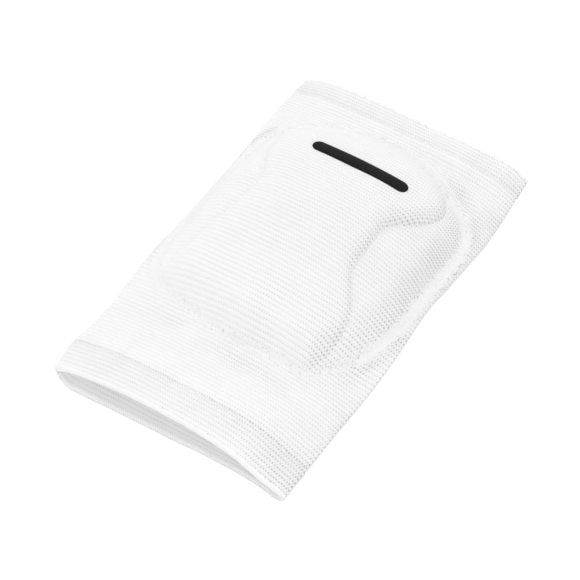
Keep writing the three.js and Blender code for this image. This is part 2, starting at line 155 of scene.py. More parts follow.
lengthRound = np.where(places[None] < 0, places[None] * leftGirth[:, None], onRightOfTube)

# one long line of lengths for all stations at once, each station's own moved on by more than a girth
rowOffset = np.arange(len(stations))[:, None] * 1000.0
closed = np.concatenate([loops, loops[:, :1]], 1)
lookup = (lengthRound % wholeGirth[:, None]) + rowOffset


# the outline's x or z at every place of the table, and how it changes from one place to the next
def overPlaces(k):
    values = np.interp(lookup.ravel(), (girth + rowOffset).ravel(), closed[..., k].ravel()).reshape(lookup.shape)
    nextOnes = np.concatenate([values[:, 2:], values[:, 1:3]], 1)
    lastOnes = np.concatenate([values[:, -3:-1], values[:, :-2]], 1)
    return values, nextOnes - lastOnes


tableX, alongX = overPlaces(0)
tableZ, alongZ = overPlaces(1)
size = np.hypot(alongX, alongZ)
normalX, normalZ = -alongZ / size, alongX / size


# the value of a fine table at any place and station, by straight lines between its four nearest entries
def readTable(tables, place, y):
    row = np.clip((y - stations[0]) / tube["stationStep"], 0, len(stations) - 1.001)
    col = np.clip((place + 1) / 4 * (len(places) - 1), 0, len(places) - 1.001)
    i, j = row.astype(int), col.astype(int)
    u, v = row - i, col - j
    here = [q[i, j] * (1 - u) + q[i + 1, j] * u for q in tables]
    nextOver = [q[i, j + 1] * (1 - u) + q[i + 1, j + 1] * u for q in tables]
    return [a * (1 - v) + b * v for a, b in zip(here, nextOver)]


# points on the tube: its outline at that place and station, pushed out along the outline's normal by lift,
# then moved along the length by the rim's stray, which fades with the square of the distance to the rim
def onTube(place, y, lift):
    place, y, lift = np.broadcast_arrays(*(np.asarray(q, float) for q in (place, y, lift)))
    place = (place + 1) % 4 - 1
    x, z, nx, nz = readTable([tableX, tableZ, normalX, normalZ], place, y)
    x, z = x + lift * nx, np.maximum(z + lift * nz, 0)
    isBack = (place > 1) & (place < np.interp(y, stations, foldPlace))
    yOut = y.copy()
    for rim, rows in ((-tube["length"] / 2, tube["lowerRim"]), (tube["length"] / 2, tube["upperRim"])):
        fade = np.clip(1 - np.abs(y - rim) / tube["rimReach"], 0, 1) ** 2
        stray = throughRows(rows, x / tube["halfWidth"])
        yOut = yOut + fade * np.where(isBack, stray[..., 1], stray[..., 0])
    return np.stack([x + tube["shift"][0], yOut + tube["shift"][1], z], -1) * mm


# length round the tube from the middle of the front in millimetres, negative to the left and past the fold there
def roundLength(place, y):
    place = (np.asarray(place, float) + 1) % 4 - 1
    wholeTable = np.broadcast_to(wholeGirth[:, None], lengthRound.shape)
    length, whole = readTable([lengthRound, wholeTable], place, y)
    return np.where(place > 2, length - whole, length)


# the place that lies a given length round from the middle of the front
def placeAt(length, y):
    left, right, back = (np.interp(y, stations, q) for q in (leftGirth, rightGirth, backGirth))
    onFront = np.where(length < 0, length / left, length / right)
    return np.where(length < -left, -1 + 2 * (length + left) / back, onFront)


# The cushions under the knit, in millimetres.
cushions = {
    "centreHeight": 12.4,
    "wingHeight": 7.4,
    "centreShoulder": [17.0, 9.0],  # width of the centre's rounded edge at the left and right groove
    "shoulderSharp": [0.85, 0.8],
    "grooveDepth": [0.25, 0.7],
    "grooveWidth": 1.3,
    "seamPress": 0.18,
    "seamWidth": 1.5,
    "slopeMix": 0.45,  # share of the rounded slope in the rise from the seam, the rest is an S curve
    # place and millimetres from the middle of the length, up the right side, over the top, down the left side
    "seam": [[0.602, -50.5], [0.67, -40], [0.755, -32.5], [0.822, -23.5], [0.862, -13], [0.895, -3],
             [0.918, 7.5], [0.923, 17], [0.918, 29.5], [0.915, 40], [0.898, 53], [0.83, 63], [0.728, 70],
             [0.612, 74], [0.443, 81], [0.25, 86], [0.045, 88], [-0.2, 87.5], [-0.432, 85], [-0.62, 81],
             [-0.785, 75], [-0.91, 66], [-1.0, 57], [-1.06, 43], [-1.09, 30], [-1.1, 15], [-1.09, 0],
             [-1.07, -15], [-1.05, -27], [-1.0, -37.5], [-0.872, -43.5], [-0.75, -45.5], [-0.6, -47.5],
             [-0.375, -51], [-0.15, -52], [0.032, -52], [0.355, -51.5], [0.5, -51.5]],
    # millimetres from the middle of the length, left and right groove as places
    "grooves": [[-56, -0.8, 0.54], [-46.5, -0.845, 0.575], [-37.5, -0.895, 0.605], [-27.5, -0.905, 0.607],
                [-20, -0.87, 0.597], [-12.5, -0.83, 0.56], [-4, -0.785, 0.48], [3.5, -0.742, 0.4],
                [10, -0.72, 0.385], [16.5, -0.708, 0.385], [24, -0.71, 0.383], [30, -0.73, 0.388],
                [35, -0.79, 0.43], [39, -0.83, 0.5], [43, -0.86, 0.553], [48.5, -0.885, 0.602],
                [54.5, -0.905, 0.632], [60.5, -0.925, 0.622], [67.5, -0.93, 0.585], [80, -0.93, 0.56]],
    "grooveFrom": -56.0,
    "grooveTo": 80.0,
    # millimetres from the middle of the length, share of the height of centre and wings, width of the slope
    "heights": [[-52, 0.66, 0.7, 17], [-31, 0.74, 0.85, 18], [-10, 0.82, 1.0, 19], [13, 0.9, 1.0, 19],
                [30, 1.0, 1.0, 19], [55, 1.0, 0.9, 18], [76, 0.88, 0.7, 17], [88, 0.7, 0.6, 16]],
    # dents of the loose knit: place, millimetres along, depth, reach across and along, turn in degrees
    "dents": [[0.65, 79.3, 1.7, 16, 3.4, -30], [0.1, -63, 0.9, 26, 4.5, 0], [-0.55, -58, 0.7, 16, 4, 6],
              [0.86, -38, 1.0, 8, 6, 40], [0.45, 90.5, 0.9, 20, 2.6, -3], [0.97, 74, 1.1, 6, 9, 10]],
}


# shortest distance from each point to the line through the given points
def distanceTo(line, s, y, isClosed=True):
    best = np.full(s.shape, 1e9)
    ends = np.roll(line, -1, 0) if isClosed else line[1:]
    for (ax, ay), (bx, by) in zip(line, ends):
        dx, dy = bx - ax, by - ay
        t = np.clip(((s - ax) * dx + (y - ay) * dy) / max(dx * dx + dy * dy, 1e-9), 0, 1)
        best = np.minimum(best, (s - ax - t * dx) ** 2 + (y - ay - t * dy) ** 2)
    return np.sqrt(best)


# true where a point lies inside the closed line: a level ray from it crosses the line an odd number of times
def insidePolygon(line, s, y):
    isInside = np.zeros(s.shape, bool)
    for (ax, ay), (bx, by) in zip(line, np.roll(line, -1, 0)):
        isBetween = (ay > y) != (by > y)
        isInside ^= isBetween & (s < ax + (y - ay) / (by - ay + 1e-12) * (bx - ax))
    return isInside


# lengths round for places that may lie past the left fold
def lengthsOf(place, y):
    left, right, back = (np.interp(y, stations, q) for q in (leftGirth, rightGirth, backGirth))
    onFront = np.where(place < 0, place * left, place * right)
    return np.where(place < -1, -left + (place + 1) * back / 2, onFront)


# the outer seam as points (length round, length along), with its corners cut into smooth bends
def seamPoints():
    table = np.array(cushions["seam"])
    points = np.stack([lengthsOf(table[:, 0], table[:, 1]), table[:, 1]], 1)
    for _ in range(2):
        after = np.roll(points, -1, 0)
        points = np.stack([0.75 * points + 0.25 * after, 0.25 * points + 0.75 * after], 1).reshape(-1, 2)
    return points


seamLine = seamPoints()
grooveY = np.linspace(cushions["grooveFrom"], cushions["grooveTo"], 90)
grooveEdges = throughRows(cushions["grooves"], grooveY)
grooveLines = [np.stack([lengthsOf(grooveEdges[:, k], grooveY), grooveY], 1) for k in (0, 1)]


# how high the knit stands over the tube at a length round s and a length along y, and how far it is from the
# outer seam. The centre and the wings rise from the grooves in rounded shoulders, all of it rises from the seam
# in a wide slope, the seam itself is pressed in, and the loose knit has shallow dents.
def reliefAt(s, y):
    s, y = np.broadcast_arrays(np.asarray(s, float), np.asarray(y, float))
    rounded = lambda d, reach, sharp: (1 - (1 - np.clip(d / reach, 0, 1)) ** 2.1) ** sharp
    centreShare, wingShare, slope = np.moveaxis(throughRows(cushions["heights"], y), -1, 0)
    left, right = (np.interp(y, grooveY, line[:, 0]) for line in grooveLines)
    toGrooves = [distanceTo(line, s, y, False) for line in grooveLines]
    fromSeam = distanceTo(seamLine, s, y)
    wing, centre = cushions["wingHeight"] * wingShare, cushions["centreHeight"] * centreShare
    shoulders = zip(toGrooves, cushions["centreShoulder"], cushions["shoulderSharp"])
    rise = np.minimum(*(rounded(distance, reach, sharp) for distance, reach, sharp in shoulders))
    lift = wing + (centre - wing) * rise * ((s > left) & (s < right))
    for depth, distance in zip(cushions["grooveDepth"], toGrooves):
        lift = lift - depth * np.exp(-((distance / cushions["grooveWidth"]) ** 2))
    t = np.clip(fromSeam / slope, 0, 1)
    mix = cushions["slopeMix"]
    climb = mix * rounded(fromSeam, slope, 0.8) + (1 - mix) * t * t * (3 - 2 * t)
    lift = lift * climb * insidePolygon(seamLine, s, y)
    for place, along, depth, across, down, turn in cushions["dents"]:
        x, h = s - lengthsOf(np.float64(place), along), y - along
        c, q = math.cos(math.radians(turn)), math.sin(math.radians(turn))
        lift = lift - depth * np.exp(-((x * c + h * q) / across) ** 2 - ((h * c - x * q) / down) ** 2)
    return lift - cushions["seamPress"] * np.exp(-((fromSeam / cushions["seamWidth"]) ** 2)), fromSeam


# The knit: its stitches in the knit map, its colours, and how open the stitches look, with painted shade on the
# holes where a face looks right, away from the light, and painted light where it looks left.
knit = {
    "wales": 210,  # stitches round the tube
    # millimetres from the middle of the length, distance between two rows of stitches there
    "coursePitch": [[-115, 2.5], [-92, 2.45], [-80, 2.35], [-68, 2.2], [-58, 2.2], [-48, 2.25], [-38, 2.55],
                    [-25, 2.62], [-10, 2.35], [5, 2.17], [20, 1.95], [35, 1.88], [50, 1.87], [80, 2.05],
                    [115, 2.1]],
    "courseStep": 0.25,
    # place round the tube, distance between two stitches there against the mean
    "waleStretch": [[-1, 0.97], [-0.5, 1.0], [0, 1.05], [0.35, 1.07], [0.7, 1.17], [1.0, 1.17], [1.5, 0.94],
                    [2.5, 0.94], [3, 0.97]],
    "openness": 0.32,  # of the stitches on a level face
    "paintedShadeRight": (0.42, 0.55),  # painted shade, added to the holes where the face looks right, away from the light: times the slope, and times its square
    "paintedLightLeft": 0.45,  # painted light, taken away where the face looks left, towards the light, times the slope
    "openInner": 0.03,
    "openLeast": 0.08,
    "colour": (0.9, 0.9, 0.9),
    # painted light: the inner faces are whiter than the outer knit, which brightens the shaded inside of the mouth
    "paintedLightInnerColour": (1.0, 1.0, 1.0),
    "holeColour": (0.25, 0.25, 0.25),
    "seamColour": (0.875, 0.875, 0.875),
    "rimColour": (0.9, 0.9, 0.9),
    "depth": 0.00032,
    "hemDepth": 0.00026,
    "letThrough": 0.28,  # share of light that passes the cover, the hems, and how much more the inner faces
    "hemThrough": 0.36,
    "innerThrough": 0.38,
}

waleShare = np.gradient((lengthRound / wholeGirth[:, None]).mean(0))
waleStep = 1 / throughRows(knit["waleStretch"], places)[:, 0] * waleShare
waleCount = np.cumsum(waleStep) - waleStep[0]
waleCount = waleCount / waleCount[-1] * knit["wales"]
courseY = np.arange(-115, 115.01, knit["courseStep"])
courseShare = knit["courseStep"] / throughRows(knit["coursePitch"], courseY[:-1])[:, 0]
courseCount = np.concatenate([[0], np.cumsum(courseShare)])


# 0 up to start, 1 from end on, and a straight rise between them; end may be the smaller of the two
def ramp(value, start, end):
    return np.clip((value - start) / (end - start), 0, 1)


# the four corners of each face of a grid, as one list
def gridFaces(a, b, c, d):
    return np.stack([a, b, c, d], -1).reshape(-1, 4).tolist()


def addValue(mesh, name, value):
    attribute = mesh.attributes.new(name, "FLOAT", "POINT")
    attribute.data.foreach_set("value", np.asarray(value, np.float32).ravel())


def newMesh(name, points, faces, uv=None):
    mesh = bpy.data.meshes.new(name)
    mesh.from_pydata(points.reshape(-1, 3), [], faces)
    mesh.polygons.foreach_set("use_smooth", np.ones(len(faces), bool))
    if uv is not None:
        layer = mesh.uv_layers.new(name="knitMap")
        layer.data.foreach_set("uv", np.asarray(uv, np.float32).ravel())
    mesh.update()
    piece = bpy.data.objects.new(name, mesh)
    bpy.context.scene.collection.objects.link(piece)
    return piece


# a closed shell of the tube: rows follow the cut wall from the outer face round to the inner one, columns go
# round the tube. plain is 1 where the knit shows no stitches; the extra value darkens the holes, for stretched knit
# and as painted shade, a slope to the right darkens them as painted shade, and a slope to the left lightens them as
# painted light.
def shellPiece(name, yRows, place, lift, plain, stretchAndShade, inner):
    rows, cols = len(yRows), len(place)
    yRows = np.broadcast_to(yRows if yRows.ndim == 2 else yRows[:, None], (rows, cols))
    points = onTube(place[None, :], yRows, lift)
    i, j = np.meshgrid(np.arange(rows), np.arange(cols), indexing="ij")
    nextI, nextJ = (i + 1) % rows, (j + 1) % cols
    faces = gridFaces(i * cols + j, i * cols + nextJ, nextI * cols + nextJ, nextI * cols + j)
    wrapped = np.concatenate([place, [place[0] + 4]])
    yRing = np.concatenate([yRows, yRows[:1]])
    yRing = np.concatenate([yRing, yRing[:, :1]], 1)
    u = np.broadcast_to(np.interp(wrapped, places, waleCount)[None], (rows + 1, cols + 1))
    v = np.interp(yRing, courseY, courseCount)
    uvGrid = np.stack([u, v], -1)
    corner = lambda a, b: uvGrid[i + a, j + b]
    uv = np.stack([corner(0, 0), corner(0, 1), corner(1, 1), corner(1, 0)], -2)
    piece = newMesh(name, points, faces, uv)
    normals = np.empty(len(piece.data.vertices) * 3, np.float32)
    piece.data.vertices.foreach_get("normal", normals)
    nx = normals.reshape(rows, cols, 3)[..., 0]
    inner = np.broadcast_to(inner[:, None], (rows, cols))
    # painted shade and light: how dark the holes are follows the way the face looks, darker to the right and
    # lighter to the left
    paintedShadeBySlope = np.where(nx > 0, knit["paintedShadeRight"][0] + knit["paintedShadeRight"][1] * nx, knit["paintedLightLeft"])
    openedAndShade = knit["openness"] + paintedShadeBySlope * nx * (1 - inner) + stretchAndShade + knit["openInner"] * inner
    addValue(piece.data, "plain", plain)
    addValue(piece.data, "inner", inner)
    addValue(piece.data, "openedAndShade", np.clip(openedAndShade, knit["openLeast"], 1))
    return piece


# places round the tube: closer together over the front, where the cushions are
def placesRound(front, back, evenShare=0.75):
    t = np.arange(front) / front
    eased = (1 - evenShare) * (0.5 - 0.5 * np.cos(np.pi * t)) + evenShare * t
    return np.concatenate([-1 + 2 * eased, 1 + 2 * np.arange(back) / back])


# The soft waves of worn-in knit, in millimetres.
waves = {
    "perPlace": 75.0,  # length round the tube for one place
    "fadeLeft": (-1.25, -1.1),  # places between which they fade out
    "fadeRight": (1.0, 0.85),
    # height, then for each of two sines what the length round, the length along and the shift add to it
    "rows": [[0.16, 1 / 9.1, 1 / 23, 0.4, -1 / 31, 1 / 11.3, 0.0],
             [0.10, 1 / 4.7, -1 / 17, 1.9, 0.0, 1 / 7.9, 0.7]],
}


# height of the soft waves: a sum of products of two sines, faded out towards the back
def softWaves(place, y):
    place = np.where(place > 2, place - 4, place)
    fade = ramp(place, *waves["fadeLeft"]) * ramp(place, *waves["fadeRight"])
    a = place * waves["perPlace"]
    products = (height * np.sin(a * k + y * m + c) * np.sin(a * q + y * r + e)
                for height, k, m, c, q, r, e in waves["rows"])
    return fade * sum(products)


# The hems at the two ends, in millimetres.
hems = {
    "lowerLength": 19.0,
    "upperLength": 12.5,
    "wall": 2.1,
    "foldWall": 1.9,
    "foldReach": 6.0,
    "backWall": 1.7,
    "backRise": 0.25,  # places from each fold over which the back's wall grows
    "perPlace": 65.0,  # length round the tube for one place near the left fold
    "raise": 0.35,
    "rimSwell": 0.12,
    "swellReach": 2.4,
    "lineDip": 0.5,
    "dipReach": 0.9,
    "rimPlain": 1.3,  # the rolled rim shows no stitches over this length
    "plainStart": 1.4,
    "lipPlain": 0.15,
    "stretchAndShade": 0.12,
    "rowsPerMm": 3.4,
    "innerEvery": 3,  # the inner face has one row for so many of the outer one
    "arcSteps": 14,
    "columns": (210, 90),
}

# The cover over the cushions, with the inner face of the tube behind it, in millimetres.
coverForm = {
    "rows": (290, 30),
    "columns": (210, 90),
    "sleeveWall": 2.4,
    "endDip": 0.15,
    "dipReach": 0.9,
    # plain band over the seam: everywhere, and more on the right, left and top
    "bandWidth": (2.8, 1.0, 0.8, 5.0),
    "bandPlain": (0.5, 0.45, 0.3, 0.25),
    "mostPlain": 0.45,
    "rightPlaces": (0.55, 0.85),
    "rightFoot": (-40, -20),
    "rightHead": (75, 60),
    "leftFrom": -0.84,
    "leftHead": (12, -2),
    "topFoot": (56, 68),
    "topPlaces": (-0.75, -0.55),
    "onCushion": 0.2,
    # stitches opened over the cushions and at the lower hem line, and painted shade on the holes in pressed-in knit
    # and beside the right seam
    "openLift": 0.03,
    "openLine": (0.5, 1.3, 0.7),
    "paintedShadePressed": (0.22, 1.5),
    "paintedShadeBeside": (0.9, 5.5, 2.4),
}


def coverPiece():
    low, high = -tube["length"] / 2 + hems["lowerLength"], tube["length"] / 2 - hems["upperLength"]
    outer, inner = np.linspace(low, high, coverForm["rows"][0]), np.linspace(high, low, coverForm["rows"][1])
    place = placesRound(*coverForm["columns"])
    grid = np.broadcast_to(place, (len(outer), len(place)))
    y = np.broadcast_to(outer[:, None], grid.shape)
    relief, fromSeam = reliefAt(roundLength(grid, y), y)
    isNear = (grid <= 1) | (grid > 2)
    toEnd = np.minimum(outer - low, high - outer)[:, None]
    dip = coverForm["endDip"] * np.exp(-((toEnd / coverForm["dipReach"]) ** 2))
    outerLift = np.where(isNear, relief, 0) + softWaves(grid, y) - dip
    # the seam shows as a plain band on the right, and is half hidden by stitches elsewhere
    alongRight = ramp(y, *coverForm["rightFoot"]) * ramp(y, *coverForm["rightHead"])
    onRight = ramp(grid, *coverForm["rightPlaces"]) * alongRight
    onLeft = ((grid > 2) | (grid < coverForm["leftFrom"])) * ramp(y, *coverForm["leftHead"])
    alongTop = ramp(y, *coverForm["topFoot"]) * (outerLift > coverForm["onCushion"])
    onTop = ramp(grid, *coverForm["topPlaces"]) * alongTop
    everywhere, right, left, top = coverForm["bandWidth"]
    bandWidth = everywhere + right * onRight + left * onLeft + top * onTop
    everywhere, right, left, top = coverForm["bandPlain"]
    bandPlain = everywhere + np.minimum(right * onRight + left * onLeft + top * onTop, coverForm["mostPlain"])
    plain = np.where(isNear, np.exp(-((fromSeam / bandWidth) ** 4)), 0) * bandPlain
    stretchAndShade = coverForm["openLift"] * np.clip(outerLift / cushions["centreHeight"], 0, 1)
    amount, reach, middle = coverForm["openLine"]
    stretchAndShade = stretchAndShade + amount * np.exp(-(((outer - low)[:, None] / reach - middle) ** 2))
    # painted shade: darker holes where the knit is pressed in, and in the low knit beside the right seam, which
    # falls away from the light
    amount, most = coverForm["paintedShadePressed"]
    stretchAndShade = stretchAndShade + amount * np.clip(-outerLift, 0, most)
    amount, middle, reach = coverForm["paintedShadeBeside"]
    stretchAndShade = stretchAndShade + amount * onRight * np.exp(-(((fromSeam - middle) / reach) ** 2)) * (outerLift < 1)
    innerShape = (len(inner), len(place))
    lift = np.concatenate([outerLift, np.full(innerShape, -coverForm["sleeveWall"])])
    plain = np.concatenate([plain, np.zeros(innerShape)])
    stretchAndShade = np.concatenate([stretchAndShade, np.zeros(innerShape)])
    isInner = np.concatenate([np.zeros(len(outer)), np.ones(len(inner))])
    return shellPiece("knit_cover", np.concatenate([outer, inner]), place, lift, plain, stretchAndShade, isInner)


# a hem: the outer face, a half round at the rim, then the inner face; way is -1 for the lower hem and 1 for the
# upper. The wall is thicker at the left fold, where the roll bunches up, and over the back.
def hemPiece(name, way):
    span = hems["lowerLength"] if way < 0 else hems["upperLength"]
    rimY, lineY = way * tube["length"] / 2, way * (tube["length"] / 2 - span)
    rows = int(span * hems["rowsPerMm"])
    place = placesRound(*hems["columns"])
    fold = float(np.interp(rimY, stations, foldPlace))
    fromFold = np.minimum(np.abs(place + 4 - fold), np.abs(place - fold)) * hems["perPlace"]
    onBack = ramp(np.minimum(place - 1, fold - place), 0, hems["backRise"])
    bunched = hems["foldWall"] * np.exp(-((fromFold / hems["foldReach"]) ** 2))
    radius = ((hems["wall"] + bunched + hems["backWall"] * onBack) / 2)[None]
    endY = rimY - way * radius
    outerY = lineY + (endY - lineY) * np.linspace(0, 1, rows)[:, None]
    angle = np.linspace(0, np.pi, hems["arcSteps"])[1:-1, None]
    arcY = endY + way * radius * np.sin(angle)
    innerY = outerY[::-1][::hems["innerEvery"]]
    fromRim = np.abs(endY - outerY)
    swell = hems["rimSwell"] * np.exp(-((fromRim / hems["swellReach"]) ** 2))
    dip = hems["lineDip"] * np.exp(-((np.abs(outerY - lineY) / hems["dipReach"]) ** 2))
    outerLift = hems["raise"] + swell - dip
    arcLift = hems["raise"] - radius + radius * np.cos(angle) + hems["rimSwell"] * np.clip(np.cos(angle), 0, 1)
    innerLift = np.broadcast_to(hems["raise"] - 2 * radius, innerY.shape)
    yRows = np.concatenate([outerY, arcY, innerY])
    lift = np.concatenate([outerLift, arcLift, innerLift])
    isInner = np.concatenate([np.zeros(rows + len(angle)), np.ones(len(innerY))])
    lift = lift + softWaves(np.broadcast_to(place, yRows.shape), yRows) * (1 - isInner)[:, None]
    rimPlain = np.clip(hems["plainStart"] - fromRim / hems["rimPlain"], 0, 1)
    plain = np.concatenate([rimPlain, np.ones(arcY.shape), rimPlain[::-1][::hems["innerEvery"]]])
    # the lip of the back layer keeps its stitches
    plain = plain * np.where((place > 1) & (place < fold), hems["lipPlain"], 1)
    if way < 0:  # rows always run so that the outer face comes before the rim going up
        yRows, lift, plain, isInner = yRows[::-1], lift[::-1], plain[::-1], isInner[::-1]
    return shellPiece(name, yRows, place, lift, plain, hems["stretchAndShade"], isInner)


cover = coverPiece()
print("stage 2: knit cover", len(cover.data.polygons))
lowerHem = hemPiece("lower_hem_knit", -1)
upperHem = hemPiece("upper_hem_knit", 1)
print("stage 3: hems", len(lowerHem.data.polygons), len(upperHem.data.polygons))


# The embroidered bar: a slim rounded lozenge of satin stitches laid over the knit, in millimetres.
bar = {
    "length": 50.0,
    "width": 7.0,
    "thickness": 0.9,
    "across": -0.015,  # middle, as a share of the half girth
    "along": 52.03,
    "threadPitch": 0.42,
    "threadShare": 0.14,  # of the thickness, that a thread stands over the gap beside it
    "edgeWave": 0.012,
    "bite": 0.25,  # how deep its edge sits in the knit
    "under": 0.1,  # and how much deeper its lower face
    "columns": 420,
    "rows": 22,
}


# the bar's rows go round its cut, over the top and back below; its half width shrinks round each end, and its
# top is a flattened half round times the threads' wave
def barPiece():
    cols, halfWidth = bar["columns"], bar["width"] / 2
    middle = bar["across"] * np.interp(bar["along"], stations, leftGirth)
    u, angle = np.linspace(-1, 1, cols), np.linspace(0, np.pi, bar["rows"])
    across = bar["length"] / 2 * np.sin(u * np.pi / 2)
    fromEnd = np.maximum(np.abs(across) - (bar["length"] - bar["width"]) / 2, 0)
    reach = np.sqrt(np.maximum(halfWidth**2 - fromEnd**2, 0.02))
    crest = (reach / halfWidth) ** 0.5
    thread = 0.5 + 0.5 * np.cos(2 * np.pi * across / bar["threadPitch"])[:, None]
    edge = np.cos(angle)
    y = bar["along"] + reach[:, None] * edge * (1 + bar["edgeWave"] * (thread - 0.5) * np.abs(edge))
    s = np.broadcast_to(middle + across[:, None], y.shape)
    base, _ = reliefAt(s, y)
    threads = 1 - bar["threadShare"] + bar["threadShare"] * thread
    top = bar["thickness"] * crest[:, None] * np.sin(angle) ** 0.45 * threads
    upper = base + top - bar["bite"] * (1 - np.sin(angle) ** 0.5)
    lower = base - bar["bite"] - bar["under"]
    s2 = np.concatenate([s, s[:, ::-1][:, 1:-1]], 1)
    y2 = np.concatenate([y, y[:, ::-1][:, 1:-1]], 1)
    lift = np.concatenate([upper, lower[:, ::-1][:, 1:-1]], 1)
    points = onTube(placeAt(s2, y2), y2, lift)
    around = points.shape[1]
    i, j = np.meshgrid(np.arange(cols - 1), np.arange(around), indexing="ij")
    first, nextJ = i * around, (j + 1) % around
    faces = gridFaces(first + j, first + nextJ, first + around + nextJ, first + around + j)
    faces += [list(range(around))[::-1], [(cols - 1) * around + k for k in range(around)]]
    return newMesh("embroidery", points, faces)


barMesh = barPiece()

# The sewing stitches over the seam and the hem lines, in millimetres.
stitch = {
    "seamPitch": 1.5,
    "seamWidth": 3.0,
    "seamJitter": 0.12,
    "seamArch": 0.16,
    "hemPitch": 2.6,
    "hemWidth": 1.9,
    "hemArch": 0.08,
    "hemRaise": 0.02,
    "threadRadius": 0.14,
    "sink": 0.12,  # how far each end of a stitch goes into the knit
    "pathSteps": 9,
    "ahead": 0.8,  # length over which the seam's direction is taken
    "fromFold": 1.0,
    "sideVector": (0.13, 0.21, 0.97),
}


# tubes along many short paths at once: paths is (count, steps, 3) in metres, radius one number; the ring at each
# step lies square to the path, made from the path's tangent and one fixed side vector
def threadTubes(name, paths, radius, sides=6):
    count, steps = paths.shape[:2]
    tangent = np.gradient(paths, axis=1)
    tangent /= np.linalg.norm(tangent, axis=-1, keepdims=True) + 1e-12
    up = np.broadcast_to(stitch["sideVector"], tangent.shape)
    side = np.cross(tangent, up)
    side /= np.linalg.norm(side, axis=-1, keepdims=True) + 1e-12
    upward = np.cross(side, tangent)
    a = 2 * np.pi * np.arange(sides) / sides
    fromMiddle = 2 * np.arange(steps) / (steps - 1) - 1
    taper = np.sqrt(np.clip(1 - fromMiddle**8, 0.05, 1))[None, :, None, None]
    ring = radius * taper * (np.cos(a)[:, None] * side[:, :, None] + np.sin(a)[:, None] * upward[:, :, None])
    points = paths[:, :, None] + ring
    k, i, j = np.meshgrid(np.arange(count), np.arange(steps - 1), np.arange(sides), indexing="ij")
    first = k * steps * sides + i * sides
    nextJ = (j + 1) % sides
    faces = gridFaces(first + j, first + nextJ, first + sides + nextJ, first + sides + j)
    for end, order in ((0, slice(None, None, -1)), (steps - 1, slice(None))):
        caps = (np.arange(count)[:, None] * steps + end) * sides + np.arange(sides)[None]
        faces += caps[:, order].tolist()
    return newMesh(name, points, faces)


# a run of stitches: from (s, y) points a and b of each stitch, a shallow arch over the knit
def stitchPaths(a, b, surface, arch):
    t = np.linspace(0, 1, stitch["pathSteps"])[None, :, None]
    plan = a[:, None] * (1 - t) + b[:, None] * t
    place = placeAt(plan[..., 0], plan[..., 1])
    lift = surface(plan[..., 0], plan[..., 1]) + arch * np.sin(np.pi * t[..., 0]) - stitch["sink"]
    return onTube(place, plan[..., 1], lift)


# points at an even pitch along a closed line, with the way along it and the way out at each
def alongLine(line, pitch):
    closedLine = np.concatenate([line, line[:1]])
    run = np.concatenate([[0], np.cumsum(np.linalg.norm(np.diff(closedLine, axis=0), axis=1))])
    count = int(run[-1] / pitch)
    at = np.arange(count) * run[-1] / count
    later = (at + stitch["ahead"]) % run[-1]
    point, ahead = (np.stack([np.interp(q, run, closedLine[:, k]) for k in (0, 1)], 1) for q in (at, later))
    way = ahead - point
    way /= np.linalg.norm(way, axis=1, keepdims=True) + 1e-9
    return point, way, np.stack([-way[:, 1], way[:, 0]], 1)


rng = np.random.default_rng(7)


# a zigzag over the seam: each stitch crosses it, every other one the other way
def seamPiece():
    point, way, out = alongLine(seamLine, stitch["seamPitch"])
    jitter = rng.normal(0, stitch["seamJitter"], (len(point), 2))
    sign = np.where(np.arange(len(point)) % 2, 1, -1)[:, None]
    a = point - out * sign * stitch["seamWidth"] / 2 + jitter
    b = point + out * sign * stitch["seamWidth"] / 2 + way * stitch["seamPitch"] + jitter
    paths = stitchPaths(a, b, lambda s, y: reliefAt(s, y)[0], stitch["seamArch"])
    return threadTubes("seam_stitches", paths, stitch["threadRadius"] * mm)


seamMesh = seamPiece()
print("stage 4: bar and seam", len(barMesh.data.polygons), len(seamMesh.data.polygons))


# the same over both hem lines, from the left fold to the right one
def hemStitchPiece():
    paths = []
    for way, span in ((-1, hems["lowerLength"]), (1, hems["upperLength"])):
        line = way * (tube["length"] / 2 - span)
        whole, left, right = (float(np.interp(line, stations, q)) for q in (wholeGirth, leftGirth, rightGirth))
        count = int(whole / stitch["hemPitch"])
        s = -left + (np.arange(count) + 0.5) * whole / count
        s = s[s < right - stitch["fromFold"]]
        sign = np.where(np.arange(len(s)) % 2, 1, -1)
        a = np.stack([s, line + sign * stitch["hemWidth"] / 2], 1)
        b = np.stack([s + stitch["hemPitch"], line - sign * stitch["hemWidth"] / 2], 1)
        surface = lambda s, y: stitch["hemRaise"] + softWaves(placeAt(s, y), y)
        paths.append(stitchPaths(a, b, surface, stitch["hemArch"]))
    return threadTubes("hem_stitches", np.concatenate(paths), stitch["threadRadius"] * mm)


hemStitches = hemStitchPiece()
print("stage 5: hem stitches", len(hemStitches.data.polygons))


def nodeTree(name):
    made = bpy.data.materials.new(name)
    made.use_nodes = True
    tree = made.node_tree
    tree.nodes.clear()
    out = tree.nodes.new("ShaderNodeOutputMaterial")
    shader = tree.nodes.new("ShaderNodeBsdfPrincipled")
    tree.links.new(shader.outputs[0], out.inputs[0])
    return made, tree, shader


# one step of arithmetic; a and b are numbers or sockets
def math2(tree, kind, a, b=None, clamp=False):
    node = tree.nodes.new("ShaderNodeMath")
    node.operation = kind
    node.use_clamp = clamp
    for i, value in enumerate((a, b)):
        if value is None:
            continue
        if isinstance(value, (int, float)):
            node.inputs[i].default_value = value
        else:
            tree.links.new(value, node.inputs[i])
    return node.outputs[0]


def noise(tree, vector, scale, detail=3.0, rough=0.55):
    node = tree.nodes.new("ShaderNodeTexNoise")
    node.inputs["Scale"].default_value = scale
    node.inputs["Detail"].default_value = detail
    node.inputs["Roughness"].default_value = rough
    tree.links.new(vector, node.inputs["Vector"])
    return node.outputs["Fac"]


# a value kept at the mesh's points
def pointValue(tree, name):
    node = tree.nodes.new("ShaderNodeAttribute")
    node.attribute_name = name
    return node.outputs["Fac"]


